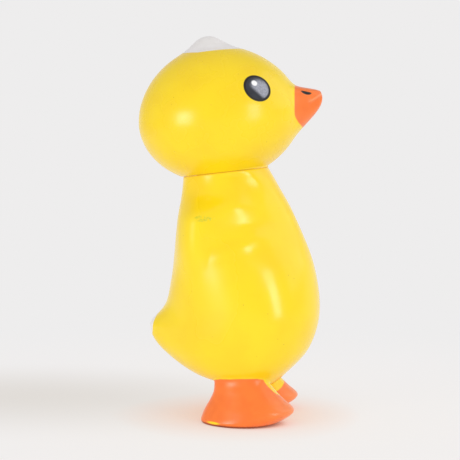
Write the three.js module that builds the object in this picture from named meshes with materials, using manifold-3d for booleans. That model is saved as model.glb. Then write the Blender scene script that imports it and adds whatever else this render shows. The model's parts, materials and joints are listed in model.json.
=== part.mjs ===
// Soft-vinyl chick figure: a hollow body with moulded feet, wings and tail, and a hollow head that turns on it.
// Millimetres. X points forward, Y to the figure's left, Z up. The soles stand on Z = 0.
import * as THREE from "three";
import { LoftGeometry } from "three/addons/geometries/LoftGeometry.js";
import { mergeVertices } from "three/addons/utils/BufferGeometryUtils.js";
import Module from "manifold-3d";

// Mouldings
const WALL = 2.2;
const CLEARANCE = 0.3;

// Neck seam: a round, tilted joint face. The head turns about the axis that stands square on it.
const SEAM_HEIGHT = 115.4;
const SEAM_SETBACK = 2;
const SEAM_TILT_DEG = 6.7;
const NECK_RADIUS = 20.2;

// Neck plug on the body, set in from the neck's edge by a ledge, and the lip that keeps the head on it
const SEAM_LEDGE = 6.7;
const LIP_OVERHANG = 2;
const LIP_THICKNESS = 2;

// Torso sections from the keel up: height, reach to the back, reach to the front, half of the width, and the share
// by which a section is wider ahead than behind. The collar lies by its share of the way from the breast to the seam.
const KEEL_HEIGHT = 12;
const KEEL_FORWARD = 8;
const CROTCH_HEIGHT = 15.2;
const CROTCH_BACK = -1.5;
const CROTCH_FRONT = 19.5;
const CROTCH_HALF = 16.5;
const CROTCH_SPREAD = 0.155;
const THIGH_HEIGHT = 21;
const THIGH_BACK = 16.8;
const THIGH_FRONT = 27.2;
const THIGH_HALF = 25.6;
const THIGH_SPREAD = 0.15;
const RUMP_HEIGHT = 33;
const RUMP_BACK = 28.3;
const RUMP_FRONT = 37.8;
const RUMP_HALF = 32;
const RUMP_SPREAD = 0.1;
const BELLY_HEIGHT = 50;
const BELLY_BACK = 29.9;
const BELLY_FRONT = 42.6;
const BELLY_HALF = 35;
const BELLY_SPREAD = 0.14;
const WAIST_HEIGHT = 71;
const WAIST_BACK = 27;
const WAIST_FRONT = 39.8;
const WAIST_HALF = 33.6;
const WAIST_SPREAD = -0.07;
const BREAST_HEIGHT = 93;
const BREAST_BACK = 24.6;
const BREAST_FRONT = 30.6;
const BREAST_HALF = 27.1;
const BREAST_SPREAD = -0.26;
const COLLAR_SHARE = 0.625;
const COLLAR_BACK = 22.95;
const COLLAR_FRONT = 22.95;
const COLLAR_HALF = 22.6;
const COLLAR_SPREAD = 0.01;

// Tail: the back drawn out to a soft point, steeper above the tip than below it
const TAIL_HEIGHT = 42.5;
const TAIL_REACH = 8.3;
const TAIL_SPREAD = 9;
const TAIL_ABOVE = 5.3;
const TAIL_BELOW = 10.5;

// Wings: each flank drawn out to a flat pad along a line that rises ahead of the pad's middle. The pad stands out
// more to the rear and sweeps back, and the higher its power the squarer its edges.
const WING_HEIGHT = 90;
const WING_SLOPE = 0.15;
const WING_FORWARD = -5;
const WING_OUT = 30.2;
const WING_FLARE = 0.2;
const WING_SWEEP = 1;
const WING_ABOVE = 8.5;
const WING_BELOW = 13;
const WING_AHEAD = 13;
const WING_BEHIND = 11.5;
const WING_POWER = 3;

// Feet: sections from the sole up, each with its reach to the heel and to the toe and half of its width
const FOOT_FORWARD = 8.8;
const FOOT_SIDE = 18.5;
const TOE_OUT_DEG = 5;
const TOE_SPREAD = 0.12;
const SOLE_HEEL = 19.7;
const SOLE_TOE = 9.5;
const SOLE_HALF = 12.2;
const EDGE_HEIGHT = 1.6;
const EDGE_HEEL = 20.6;
const EDGE_TOE = 16.4;
const EDGE_HALF = 14.8;
const TOE_HEIGHT = 6.2;
const TOE_HEEL = 18.9;
const TOE_TOE = 22.7;
const TOE_HALF = 14.2;
const INSTEP_HEIGHT = 11;
const INSTEP_HEEL = 16.2;
const INSTEP_TOE = 18.2;
const INSTEP_HALF = 12;
const ANKLE_HEIGHT = 15;
const ANKLE_HEEL = 14.6;
const ANKLE_TOE = 14.2;
const ANKLE_HALF = 10.1;
const CUFF_HEIGHT = 20;
const CUFF_HEEL = 14.3;
const CUFF_TOE = 10.7;
const CUFF_HALF = 8.1;
const SHANK_RISE = 7;
const SHANK_HEEL = 13.4;
const SHANK_TOE = 8.6;
const SHANK_HALF = 9;
const SHANK_INWARD = 0.4;

// Head: an egg along the neck axis, measured from the seam face
const EQUATOR_RISE = 25.7;
const HEAD_BACK = 38.2;
const HEAD_FRONT = 39;
const HEAD_HALF = 35.5;
const CROWN_RISE = 34.4;
const CROWN_SETBACK = 1.5;
const CROWN_FULLNESS = 1.87;
const CHIN_RIM = 1;
const CHIN_FULLNESS = 1.85;

// Beak: the face drawn forward, flat on top and round below
const BEAK_REACH = 10.8;
const BEAK_HALF = 14.2;
const BEAK_TAPER = 2.4;
const BEAK_ROOT_RISE = 11;
const BEAK_TIP_RISE = 31.5;
const BEAK_TOP_RISE = 32.3;
const BEAK_BROW_RISE = 36.9;
const BEAK_BROW_FOOT = 3;
const BEAK_FOOT_SHARE = 0.25;

// Tuft: the crown drawn up to a low round peak
const TUFT_REACH = 4.4;
const TUFT_SPREAD = 6.4;
const TUFT_POWER = 2.6;

// Facets
const TORSO_FACETS = 44;
const TORSO_ROWS = 36;
const FOOT_FACETS = 28;
const HEAD_FACETS = 48;
const HEAD_ROWS = 30;
const CORE_FACETS = 24;
const CORE_ROWS = 14;
const PLUG_FACETS = 40;
const FACE_CROWDING = 0.5;
const POLE_SHARE = 0.03;

const ELLIPSE = 2;

const wasm = await Module();
wasm.setup();

const SEAM_TILT = THREE.MathUtils.degToRad(SEAM_TILT_DEG);
const TOE_OUT = THREE.MathUtils.degToRad(TOE_OUT_DEG);
const COLLAR_HEIGHT = THREE.MathUtils.lerp(BREAST_HEIGHT, SEAM_HEIGHT, COLLAR_SHARE);

// A Gaussian bell, or with a higher power than 2 a flatter pad, and one with a spread of its own on each side.
const bell = (distance, spread, power = 2) => Math.exp(-(Math.abs(distance / spread) ** power) / 2);
const lopsidedBell = (distance, before, after, power) => bell(distance, distance < 0 ? before : after, power);

// An oval's quarter: 1 at no rise and 0 at the full rise. A fullness of 2 is an ellipse, less is flatter.
const ovalQuarter = (share, fullness) => (1 - Math.min(share, 1) ** fullness) ** (1 / fullness);

// Angles round a section, evenly spaced, or crowded towards the front by a share of the step.
function anglesRound(count, crowding = 0) {
  return Array.from({ length: count }, (_, i) => {
    const turn = (2 * Math.PI * i) / count;
    return turn - crowding * Math.sin(turn);
  });
}

// The loft of a list of sections as a closed solid.
function loftedSolid(sections) {
  return solidOf(new LoftGeometry(sections, { capStart: true, capEnd: true }));
}

function solidOf(geometry) {
  const skin = new THREE.BufferGeometry();
  skin.setAttribute("position", geometry.getAttribute("position"));
  skin.setIndex(geometry.index);
  const merged = mergeVertices(skin);
  return new wasm.Manifold(
    new wasm.Mesh({
      numProp: 3,
      vertProperties: merged.getAttribute("position").array,
      triVerts: new Uint32Array(merged.index.array),
    }),
  );
}

function meshOf(solid, name, material) {
  const { vertProperties, triVerts } = solid.getMesh();
  const geometry = new THREE.BufferGeometry();
  geometry.setAttribute("position", new THREE.BufferAttribute(vertProperties, 3));
  geometry.setIndex(new THREE.BufferAttribute(triVerts, 1));
  geometry.computeVertexNormals();
  const mesh = new THREE.Mesh(geometry, material);
  mesh.name = name;
  return mesh;
}

// A round solid about the neck axis, from [radius, rise above the seam] points that start and end on the axis.
function neckTurned(profile) {
  const points = profile.map(([radius, rise]) => new THREE.Vector2(radius, rise));
  return new THREE.LatheGeometry(points, PLUG_FACETS).rotateX(Math.PI / 2);
}

function placedOnSeam(geometry) {
  return geometry.rotateY(-SEAM_TILT).translate(-SEAM_SETBACK, 0, SEAM_HEIGHT);
}

// Torso section rows as a smooth curve through the stations, each inset by the wall for the hollow inside it.
// The first station mirrors the third one through the keel, so that the underside closes round.
function torsoRows(count, inset) {
  const seamDrop = inset * Math.cos(SEAM_TILT);
  const seamShift = inset * Math.sin(SEAM_TILT);
  const stations = [
    [CROTCH_HEIGHT, -CROTCH_FRONT, -CROTCH_BACK, -CROTCH_HALF, CROTCH_SPREAD],
    [KEEL_HEIGHT, -KEEL_FORWARD, KEEL_FORWARD, 0, CROTCH_SPREAD],
    [CROTCH_HEIGHT, CROTCH_BACK, CROTCH_FRONT, CROTCH_HALF, CROTCH_SPREAD],
    [THIGH_HEIGHT, THIGH_BACK, THIGH_FRONT, THIGH_HALF, THIGH_SPREAD],
    [RUMP_HEIGHT, RUMP_BACK, RUMP_FRONT, RUMP_HALF, RUMP_SPREAD],
    [BELLY_HEIGHT, BELLY_BACK, BELLY_FRONT, BELLY_HALF, BELLY_SPREAD],
    [WAIST_HEIGHT, WAIST_BACK, WAIST_FRONT, WAIST_HALF, WAIST_SPREAD],
    [BREAST_HEIGHT, BREAST_BACK, BREAST_FRONT, BREAST_HALF, BREAST_SPREAD],
    [COLLAR_HEIGHT, COLLAR_BACK, COLLAR_FRONT, COLLAR_HALF, COLLAR_SPREAD],
    [SEAM_HEIGHT, NECK_RADIUS + SEAM_SETBACK, NECK_RADIUS - SEAM_SETBACK, NECK_RADIUS, 0],
  ];
  const curve = new THREE.CubicInterpolant(stations.map((_, i) => i), stations.flat(), stations[0].length);
  const last = stations.length - 1;
  return Array.from({ length: count + 1 }, (_, i) => {
    const share = THREE.MathUtils.lerp(POLE_SHARE, 1, i / count);
    const [height, back, front, half, spread] = curve.evaluate(1 + share * (last - 1));
    const lift = THREE.MathUtils.smoothstep(height, BELLY_HEIGHT, SEAM_HEIGHT);
    const floorLift = 1 - THREE.MathUtils.smoothstep(height, KEEL_HEIGHT, BELLY_HEIGHT);
    return {
      x: (front - back) / 2 + lift * seamShift,
      z: height - lift * seamDrop + floorLift * inset,
      reach: (front + back) / 2 - inset,
      half: half - inset,
      spread,
      tilt: lift * SEAM_TILT,
    };
  }).filter((row) => row.reach > 0 && row.half > 0);
}

function torsoSection(row, angles) {
  return angles.map((angle) => {
    const along = row.reach * Math.cos(angle);
    const x = row.x + along * Math.cos(row.tilt);
    const y = row.half * Math.sin(angle) * (1 + row.spread * Math.cos(angle));
    const z = row.z + along * Math.sin(row.tilt);
    return new THREE.Vector3(x, y, z);
  });
}

function pullTailAndWings(point) {
  const { x, y, z } = point;
  const tail = bell(y, TAIL_SPREAD) * lopsidedBell(z - TAIL_HEIGHT, TAIL_BELOW, TAIL_ABOVE);
  const ahead = x - WING_FORWARD;
  const line = WING_HEIGHT + WING_SLOPE * Math.max(0, ahead);
  const wing =
    lopsidedBell(ahead, WING_BEHIND, WING_AHEAD, WING_POWER) *
    lopsidedBell(z - line, WING_BELOW, WING_ABOVE, WING_POWER);
  point.x -= wing * WING_SWEEP + (x < 0 ? tail * TAIL_REACH : 0);
  point.y += wing * Math.max(0, WING_OUT - WING_FLARE * x - Math.abs(y)) * Math.sign(y);
  return point;
}

function torsoOuter() {
  const angles = anglesRound(TORSO_FACETS);
  const sections = torsoRows(TORSO_ROWS, 0).map((row) => torsoSection(row, angles).map(pullTailAndWings));
  return loftedSolid(sections);
}

function torsoCore() {
  const angles = anglesRound(CORE_FACETS);
  return loftedSolid(torsoRows(CORE_ROWS, WALL).map((row) => torsoSection(row, angles)));
}

// One foot, side +1 on the left and -1 on the right, inset by the wall for the hollow inside it.
function footSolid(side, inset, facets) {
  const rows = [
    [inset, SOLE_HEEL, SOLE_TOE, SOLE_HALF, 0],
    [EDGE_HEIGHT + inset, EDGE_HEEL, EDGE_TOE, EDGE_HALF, 0],
    [TOE_HEIGHT + inset, TOE_HEEL, TOE_TOE, TOE_HALF, 0],
    [INSTEP_HEIGHT, INSTEP_HEEL, INSTEP_TOE, INSTEP_HALF, 0],
    [ANKLE_HEIGHT, ANKLE_HEEL, ANKLE_TOE, ANKLE_HALF, 0],
    [CUFF_HEIGHT, CUFF_HEEL, CUFF_TOE, CUFF_HALF, 0],
    [CUFF_HEIGHT + SHANK_RISE, SHANK_HEEL, SHANK_TOE, SHANK_HALF, SHANK_INWARD],
  ];
  const sections = rows.map(([z, heel, toe, half, inward]) =>
    anglesRound(facets).map((angle) => {
      const turn = side * angle;
      const along = (toe - heel) / 2 + ((toe + heel) / 2 - inset) * Math.cos(turn);
      const across = (half - inset) * Math.sin(turn) * (1 + TOE_SPREAD * Math.cos(turn));
      const x = FOOT_FORWARD + along * Math.cos(TOE_OUT) - side * across * Math.sin(TOE_OUT);
      const y = side * (FOOT_SIDE - inward + along * Math.sin(TOE_OUT)) + across * Math.cos(TOE_OUT);
      return new THREE.Vector3(x, y, z);
    }),
  );
  if (side < 0) sections.forEach((section) => section.reverse());
  return loftedSolid(sections);
}

// Plug and hole radii, and the rises above the seam face of the head's floor and of the lip that holds it down
const PLUG_RADIUS = NECK_RADIUS - SEAM_LEDGE;
const HOLE_RADIUS = PLUG_RADIUS + CLEARANCE;
const FLOOR_TOP = CLEARANCE + WALL;
const LIP_BASE = FLOOR_TOP + CLEARANCE;
const LIP_TOP = LIP_BASE + LIP_THICKNESS;

function bodySolid() {
  const plug = neckTurned([
    [0, -WALL],
    [PLUG_RADIUS, -WALL],
    [PLUG_RADIUS, LIP_BASE],
    [HOLE_RADIUS + LIP_OVERHANG, LIP_BASE],
    [HOLE_RADIUS + LIP_OVERHANG, LIP_TOP],
    [0, LIP_TOP],
  ]);
  const bore = neckTurned([
    [0, -2 * WALL],
    [PLUG_RADIUS - WALL, -2 * WALL],
    [PLUG_RADIUS - WALL, LIP_TOP + WALL],
    [0, LIP_TOP + WALL],
  ]);
  const outside = torsoOuter()
    .add(footSolid(1, 0, FOOT_FACETS))
    .add(footSolid(-1, 0, FOOT_FACETS))
    .add(solidOf(placedOnSeam(plug)));
  const inside = torsoCore()
    .add(footSolid(1, WALL, CORE_FACETS))
    .add(footSolid(-1, WALL, CORE_FACETS))
    .add(solidOf(placedOnSeam(bore)));
  return outside.subtract(inside);
}

// Reaches of the head's section at a rise above the seam face, inset by the wall for the hollow inside it.
function headReaches(rise, inset) {
  const above = rise - EQUATOR_RISE;
  if (above >= 0) {
    const share = ovalQuarter(above / (CROWN_RISE - inset), CROWN_FULLNESS);
    return {
      back: CROWN_SETBACK + (HEAD_BACK - CROWN_SETBACK - inset) * share,
      front: -CROWN_SETBACK + (HEAD_FRONT + CROWN_SETBACK - inset) * share,
      half: (HEAD_HALF - inset) * share,
    };
  }
  // Below the equator each reach closes in on the neck's own radius at the seam, the chin a little above it.
  const lower = (reach, stop, fullness) => {
    const drop = (EQUATOR_RISE - stop) / ovalQuarter(NECK_RADIUS / reach, fullness) - inset;
    return (reach - inset) * ovalQuarter(-above / drop, fullness);
  };
  return {
    back: lower(HEAD_BACK, 0, ELLIPSE),
    front: Math.max(lower(HEAD_FRONT, CHIN_RIM, CHIN_FULLNESS), NECK_RADIUS - inset),
    half: lower(HEAD_HALF, 0, ELLIPSE),
  };
}

function pullBeakAndTuft(point) {
  const { x, y, z } = point;
  if (x > 0) {
    const side = Math.max(0, 1 - (y / BEAK_HALF) ** 2) ** BEAK_TAPER;
    const underRise = THREE.MathUtils.clamp((z - BEAK_ROOT_RISE) / (BEAK_TIP_RISE - BEAK_ROOT_RISE), 0, 1);
    const under = (1 - Math.cos(underRise * Math.PI)) / 2;
    const step = 1 - THREE.MathUtils.smoothstep(z, BEAK_TOP_RISE, BEAK_BROW_RISE);
    const foot = 1 - THREE.MathUtils.smoothstep(z, BEAK_TOP_RISE, BEAK_BROW_RISE + BEAK_BROW_FOOT);
    point.x += BEAK_REACH * side * under * THREE.MathUtils.lerp(step, foot, BEAK_FOOT_SHARE);
  }
  if (z > EQUATOR_RISE) point.z += TUFT_REACH * bell(Math.hypot(x + CROWN_SETBACK, y), TUFT_SPREAD, TUFT_POWER);
  return point;
}

// Head sections from a lowest rise to the crown, evenly spaced round the egg.
function headSections(lowest, inset, rowCount, angles) {
  const crownRise = CROWN_RISE - inset;
  const start = Math.asin(Math.max(-1, (lowest - EQUATOR_RISE) / EQUATOR_RISE));
  return Array.from({ length: rowCount + 1 }, (_, i) => {
    const level = THREE.MathUtils.lerp(start, (Math.PI / 2) * (1 - POLE_SHARE), i / rowCount);
    const rise = EQUATOR_RISE + Math.sin(level) * (level < 0 ? EQUATOR_RISE : crownRise);
    const { back, front, half } = headReaches(rise, inset);
    return angles.map((angle) => {
      const x = (front - back) / 2 + ((front + back) / 2) * Math.cos(angle);
      return new THREE.Vector3(x, half * Math.sin(angle), rise);
    });
  });
}

function headSolid() {
  const faceAngles = anglesRound(HEAD_FACETS, FACE_CROWDING);
  const outer = headSections(CLEARANCE, 0, HEAD_ROWS, faceAngles);
  const inner = headSections(FLOOR_TOP, WALL, CORE_ROWS, anglesRound(CORE_FACETS));
  const hole = neckTurned([
    [0, -WALL],
    [HOLE_RADIUS, -WALL],
    [HOLE_RADIUS, LIP_TOP],
    [0, LIP_TOP],
  ]);
  return loftedSolid(outer.map((section) => section.map(pullBeakAndTuft)))
    .subtract(loftedSolid(inner))
    .subtract(solidOf(hole));
}

const satinVinyl = new THREE.MeshStandardMaterial({ color: 0xffdf2e, roughness: 0.45, metalness: 0 });
const glossVinyl = new THREE.MeshStandardMaterial({ color: 0xffdd36, roughness: 0.28, metalness: 0 });

const chick = new THREE.Group();
chick.add(meshOf(bodySolid(), "body", glossVinyl));

const headOnNeck = new THREE.Group();
headOnNeck.position.set(-SEAM_SETBACK, 0, SEAM_HEIGHT);
headOnNeck.rotation.y = -SEAM_TILT;
headOnNeck.add(meshOf(headSolid(), "head", satinVinyl));
chick.add(headOnNeck);

export default chick;
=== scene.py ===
"""Looks of a soft-vinyl chick figure: a glossy body and a satin head with sprayed paint, in a pale studio.

Lengths are millimetres in the figure's own frame, X forward, Y to its left and Z up, until a mesh is
written in metres. Each moulding is one closed skin worked out on a grid, and its paint is kept as fields on
its vertices.
"""

import json
import logging
import math
from dataclasses import dataclass
from enum import Enum
from typing import Any

import bpy
import numpy as np
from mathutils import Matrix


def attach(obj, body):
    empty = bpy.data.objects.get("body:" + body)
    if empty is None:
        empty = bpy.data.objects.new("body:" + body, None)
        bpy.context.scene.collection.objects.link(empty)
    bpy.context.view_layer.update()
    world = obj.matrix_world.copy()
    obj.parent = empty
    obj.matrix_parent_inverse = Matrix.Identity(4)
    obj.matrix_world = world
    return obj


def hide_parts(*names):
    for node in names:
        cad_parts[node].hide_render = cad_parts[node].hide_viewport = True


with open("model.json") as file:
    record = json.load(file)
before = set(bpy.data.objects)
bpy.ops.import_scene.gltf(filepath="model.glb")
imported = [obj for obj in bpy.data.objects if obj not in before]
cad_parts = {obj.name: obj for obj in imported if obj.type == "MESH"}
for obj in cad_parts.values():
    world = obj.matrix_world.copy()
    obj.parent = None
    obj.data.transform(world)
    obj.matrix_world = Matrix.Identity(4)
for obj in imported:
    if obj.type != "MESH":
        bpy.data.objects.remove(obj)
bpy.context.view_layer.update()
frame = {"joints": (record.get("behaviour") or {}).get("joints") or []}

log = logging.getLogger("chick")

MM = 0.001


class Side(Enum):
    """The two sides of the figure, as the sign of Y."""

    LEFT = 1
    RIGHT = -1


class Joining(Enum):
    """The ways in which one closed skin is joined with another."""

    UNION = "UNION"
    CUT = "DIFFERENCE"


class Region(Enum):
    """The parts of the body's skin, as the material slots that keep them apart while it is built."""

    TRUNK = 0
    FEET = 1


def smoothstep(value: np.ndarray, low: float, high: float) -> np.ndarray:
    """Runs from 0 at low to 1 at high as 3t^2 - 2t^3, with t the share of the way."""
    share = np.clip((value - low) / (high - low), 0, 1)
    return share * share * (3 - 2 * share)


def bell(distance: np.ndarray, spread: float | np.ndarray, power: float = 2.0) -> np.ndarray:
    """A bell: e to minus half of the distance over the spread, to a power. Higher powers are flatter."""
    return np.exp(-0.5 * np.abs(distance / spread) ** power)


def lopsided_bell(distance: np.ndarray, before: float, after: float, power: float = 2.0) -> np.ndarray:
    """A bell with one spread before its peak and another after it."""
    return bell(distance, np.where(distance < 0, before, after), power)


def oval_quarter(share: np.ndarray, fullness: float) -> np.ndarray:
    """A quarter of an oval: the fullness-th root of 1 minus the share to the fullness. 2 is an ellipse."""
    return (1 - np.clip(share, 0, 1) ** fullness) ** (1 / fullness)


def curve_through(stations: np.ndarray, places: np.ndarray) -> np.ndarray:
    """A Catmull-Rom curve through stations, which ends straight.

    Between two stations the curve is the cubic whose slope at each is half of the step between its
    neighbours. A station added past each end gives the end no curvature.

    Args:
        stations: One row of values for each whole-numbered place, from 0.
        places: Where the curve is read, in places.

    Returns:
        One row of values for each place.
    """
    first = stations[1] + 3 * (stations[0] - stations[1]) - (stations[0] - stations[2]) / 2
    last = stations[-2] + 3 * (stations[-1] - stations[-2]) - (stations[-1] - stations[-3]) / 2
    padded = np.vstack([first, stations, last])
    start = np.clip(places.astype(int), 0, len(stations) - 2)
    t = (places - start)[:, None]
    before, here, ahead, beyond = (padded[start + i] for i in range(4))
    cubic = 3 * (here - ahead) + beyond - before
    square = 2 * before - 5 * here + 4 * ahead - beyond
    return here + 0.5 * t * (ahead - before + t * (square + t * cubic))


def angles_round(count: int, crowding: float = 0.0) -> np.ndarray:
    """Angles round a section, crowded towards the front: each turn less its sine times the crowding."""
    turns = np.linspace(0, 2 * math.pi, count, endpoint=False)
    return turns - crowding * np.sin(turns)


def grid_normals(rings: np.ndarray) -> np.ndarray:
    """Unit normals of a grid of rings: the step round the ring crossed with the step to the next ring.

    Args:
        rings: Points as rings by columns by three.

    Returns:
        One normal for each point.
    """
    around = np.roll(rings, -1, axis=1) - np.roll(rings, 1, axis=1)
    upward = np.gradient(rings, axis=0)
    normals = np.cross(around, upward)
    return normals / np.maximum(np.linalg.norm(normals, axis=2, keepdims=True), 1e-9)


def closed_skin(
    name: str, rings: np.ndarray, first_pole: np.ndarray, last_pole: np.ndarray
) -> bpy.types.Object:
    """A closed mesh of rings in order, with a fan of triangles from a pole to each end ring.

    The first pole is vertex 0 and the last pole the last vertex. Point i of ring r is vertex
    1 + r * columns + i. Rings run up the outside and anticlockwise seen from above, so that faces point
    out of the material.

    Args:
        name: The object's name.
        rings: Points as rings by columns by three, in millimetres.
        first_pole: The point that closes the first ring.
        last_pole: The point that closes the last ring.

    Returns:
        The object, linked to the scene at the origin.
    """
    count, columns = rings.shape[:2]
    points = np.vstack([first_pole, rings.reshape(-1, 3), last_pole]) * MM
    here = np.arange(columns)
    after = np.roll(here, -1)
    starts = 1 + columns * np.arange(count - 1)[:, None]
    corners = [starts + here, starts + after, starts + columns + after, starts + columns + here]
    quads = np.stack(corners, axis=-1)
    top = 1 + columns * (count - 1)
    first_fan = np.stack([np.zeros_like(here), 1 + after, 1 + here], axis=-1)
    last_fan = np.stack([np.full_like(here, len(points) - 1), top + here, top + after], axis=-1)
    faces = quads.reshape(-1, 4).tolist() + first_fan.tolist() + last_fan.tolist()
    mesh = bpy.data.meshes.new(name)
    mesh.from_pydata(points, [], faces)
    piece = bpy.data.objects.new(name, mesh)
    bpy.context.scene.collection.objects.link(piece)
    return piece


def join(base: bpy.types.Object, other: bpy.types.Object, joining: Joining) -> None:
    """Adds another closed skin to a base skin or cuts it away, and deletes the other.

    Args:
        base: The skin that is kept.
        other: The skin that is used up.
        joining: How they are joined.
    """
    modifier = base.modifiers.new(joining.name, "BOOLEAN")
    modifier.operation = joining.value
    modifier.solver = "EXACT"
    modifier.object = other
    joined = bpy.data.meshes.new_from_object(base.evaluated_get(bpy.context.evaluated_depsgraph_get()))
    base.modifiers.clear()
    spent = (base.data, other.data)
    base.data = joined
    bpy.data.objects.remove(other)
    for mesh in spent:
        bpy.data.meshes.remove(mesh)


def points_of(mesh: bpy.types.Mesh) -> np.ndarray:
    """A mesh's vertices.

    Args:
        mesh: The mesh.

    Returns:
        One point for each vertex, in millimetres.
    """
    flat = np.empty(3 * len(mesh.vertices), np.float32)
    mesh.vertices.foreach_get("co", flat)
    return flat.reshape(-1, 3).astype(float) / MM


def write_points(mesh: bpy.types.Mesh, points: np.ndarray) -> None:
    """Writes millimetre points back to a mesh's vertices."""
    mesh.vertices.foreach_set("co", (points * MM).astype(np.float32).ravel())
    mesh.update()


def edges_of(mesh: bpy.types.Mesh) -> np.ndarray:
    """A mesh's edges.

    Args:
        mesh: The mesh.

    Returns:
        One pair of vertices for each edge.
    """
    flat = np.empty(2 * len(mesh.edges), np.int32)
    mesh.edges.foreach_get("vertices", flat)
    return flat.reshape(-1, 2)


def touched_by(mesh: bpy.types.Mesh, region: Region) -> np.ndarray:
    """Which vertices belong to a face of a region.

    Args:
        mesh: The mesh, with its regions in material slots.
        region: The region.

    Returns:
        True or false for each vertex.
    """
    slots = np.empty(len(mesh.polygons), np.int32)
    mesh.polygons.foreach_get("material_index", slots)
    sizes = np.empty(len(mesh.polygons), np.int32)
    mesh.polygons.foreach_get("loop_total", sizes)
    corners = np.empty(len(mesh.loops), np.int32)
    mesh.loops.foreach_get("vertex_index", corners)
    found = np.zeros(len(mesh.vertices), bool)
    found[corners[np.repeat(slots == region.value, sizes)]] = True
    return found


def distance_to(points: np.ndarray, targets: np.ndarray) -> np.ndarray:
    """The distance from each point to the nearest of some targets, in blocks that fit in memory.

    Args:
        points: The points.
        targets: The points that they are measured to.

    Returns:
        One distance for each point.
    """
    pairs_in_block = 4_000_000
    blocks = np.array_split(points, max(1, len(points) * len(targets) // pairs_in_block))
    return np.concatenate(
        [np.sqrt(((block[:, None] - targets[None]) ** 2).sum(-1).min(1)) for block in blocks]
    )


def relaxed(values: np.ndarray, edges: np.ndarray, share: np.ndarray, rounds: int) -> np.ndarray:
    """Moves each vertex's values towards the mean of its neighbours, round after round.

    Args:
        values: One row for each vertex.
        edges: One pair of vertices for each edge.
        share: How much of the way each vertex goes in a round.
        rounds: How many rounds.

    Returns:
        The moved values.
    """
    counts = np.bincount(edges.ravel(), minlength=len(values))[:, None]
    for _ in range(rounds):
        sums = np.zeros_like(values)
        np.add.at(sums, edges[:, 0], values[edges[:, 1]])
        np.add.at(sums, edges[:, 1], values[edges[:, 0]])
        values = values + share[:, None] * (sums / np.maximum(counts, 1) - values)
    return values


def write_field(mesh: bpy.types.Mesh, name: str, values: np.ndarray) -> None:
    """Keeps one number for each vertex under a name that a material can read."""
    attribute = mesh.attributes.new(name, "FLOAT", "POINT")
    attribute.data.foreach_set("value", values.astype(np.float32))


def finish_shading(mesh: bpy.types.Mesh, sharp_deg: float = 50.0) -> None:
    """Shades a mesh smooth, apart from edges that turn by more than an angle.

    Args:
        mesh: The mesh.
        sharp_deg: The angle in degrees.
    """
    mesh.polygons.foreach_set("use_smooth", np.ones(len(mesh.polygons), bool))
    mesh.set_sharp_from_angle(angle=math.radians(sharp_deg))
    mesh.update()


def linear(colour: str) -> tuple[float, float, float, float]:
    """The linear colour of an sRGB hex value, with full alpha.

    Args:
        colour: A hash sign and six hex digits.

    Returns:
        Red, green, blue and alpha.
    """
    shares = [int(colour[i : i + 2], 16) / 255 for i in (1, 3, 5)]
    red, green, blue = (s / 12.92 if s <= 0.04045 else ((s + 0.055) / 1.055) ** 2.4 for s in shares)
    return red, green, blue, 1.0


def add_node(tree: bpy.types.NodeTree, kind: str, settings: dict[str, Any], **links: Any) -> bpy.types.Node:
    """Adds a node, sets its settings and links or sets its inputs.

    Args:
        tree: The node tree.
        kind: The node's type.
        settings: Its properties, such as an operation.
        **links: Inputs by name, with _ for a space, or by place as in_0. A socket is linked, a value is set.

    Returns:
        The node.
    """
    node = tree.nodes.new(kind)
    for name, value in settings.items():
        setattr(node, name, value)
    for name, value in links.items():
        place = int(name[3:]) if name.startswith("in_") else name.replace("_", " ")
        if isinstance(value, bpy.types.NodeSocket):
            tree.links.new(value, node.inputs[place])
        else:
            node.inputs[place].default_value = value
    return node


COLOUR_MIX = {"data_type": "RGBA", "blend_type": "MIX"}
NUMBER_MIX = {"data_type": "FLOAT"}
SOFT_STEP = {"interpolation_type": "SMOOTHSTEP"}

# How many finer layers a noise has: a mottle has several, a cloud or a scuff fewer and a grain one.
MOTTLE_DETAIL = 3.0
CLOUD_DETAIL = 2.0
GRAIN_DETAIL = 1.0


@dataclass(frozen=True)
class Vinyl:
    """Slush-moulded soft PVC: dyed through, with a faint mottle, a few specks and its mould's fine grain.

    The grain breaks up reflections, so that a coarse grain looks satin and a fine one glossy. Handling wipes
    patches of the skin duller and others brighter. A speck fades in over the outer two thirds of its radius.
    Pattern sizes are millimetres.
    """

    name: str
    colour: str
    mottle: str
    roughness: float
    grain: float
    grain_depth: float
    mottle_size: float = 22.0
    mottle_edges: tuple[float, float] = (0.35, 0.7)
    speck_gap: float = 5.0
    speck_radius: float = 0.3
    speck: str = "#D0AA14"
    wiped: tuple[float, float] = (-0.03, 0.04)
    wiped_size: float = 11.0
    wiped_edges: tuple[float, float] = (0.3, 0.7)
    ior: float = 1.47


@dataclass(frozen=True)
class Paint:
    """Vinyl paint sprayed through a mask, with a cloudy tone and an edge that fades over a short width."""

    colour: str
    shade: str
    roughness: float
    fade: float = 0.35
    cloud: float = 6.0
    cloud_edges: tuple[float, float] = (0.35, 0.7)


# The head was cast in a sand-blasted mould and looks satin, the body in a polished one and looks glossy.
HEAD_VINYL = Vinyl("satin_yellow_soft_vinyl", "#FFDD18", "#FBD516", 0.26, 0.7, 0.01)
BODY_VINYL = Vinyl("gloss_yellow_soft_vinyl", "#FFDE18", "#FCD716", 0.21, 0.9, 0.006)

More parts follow.
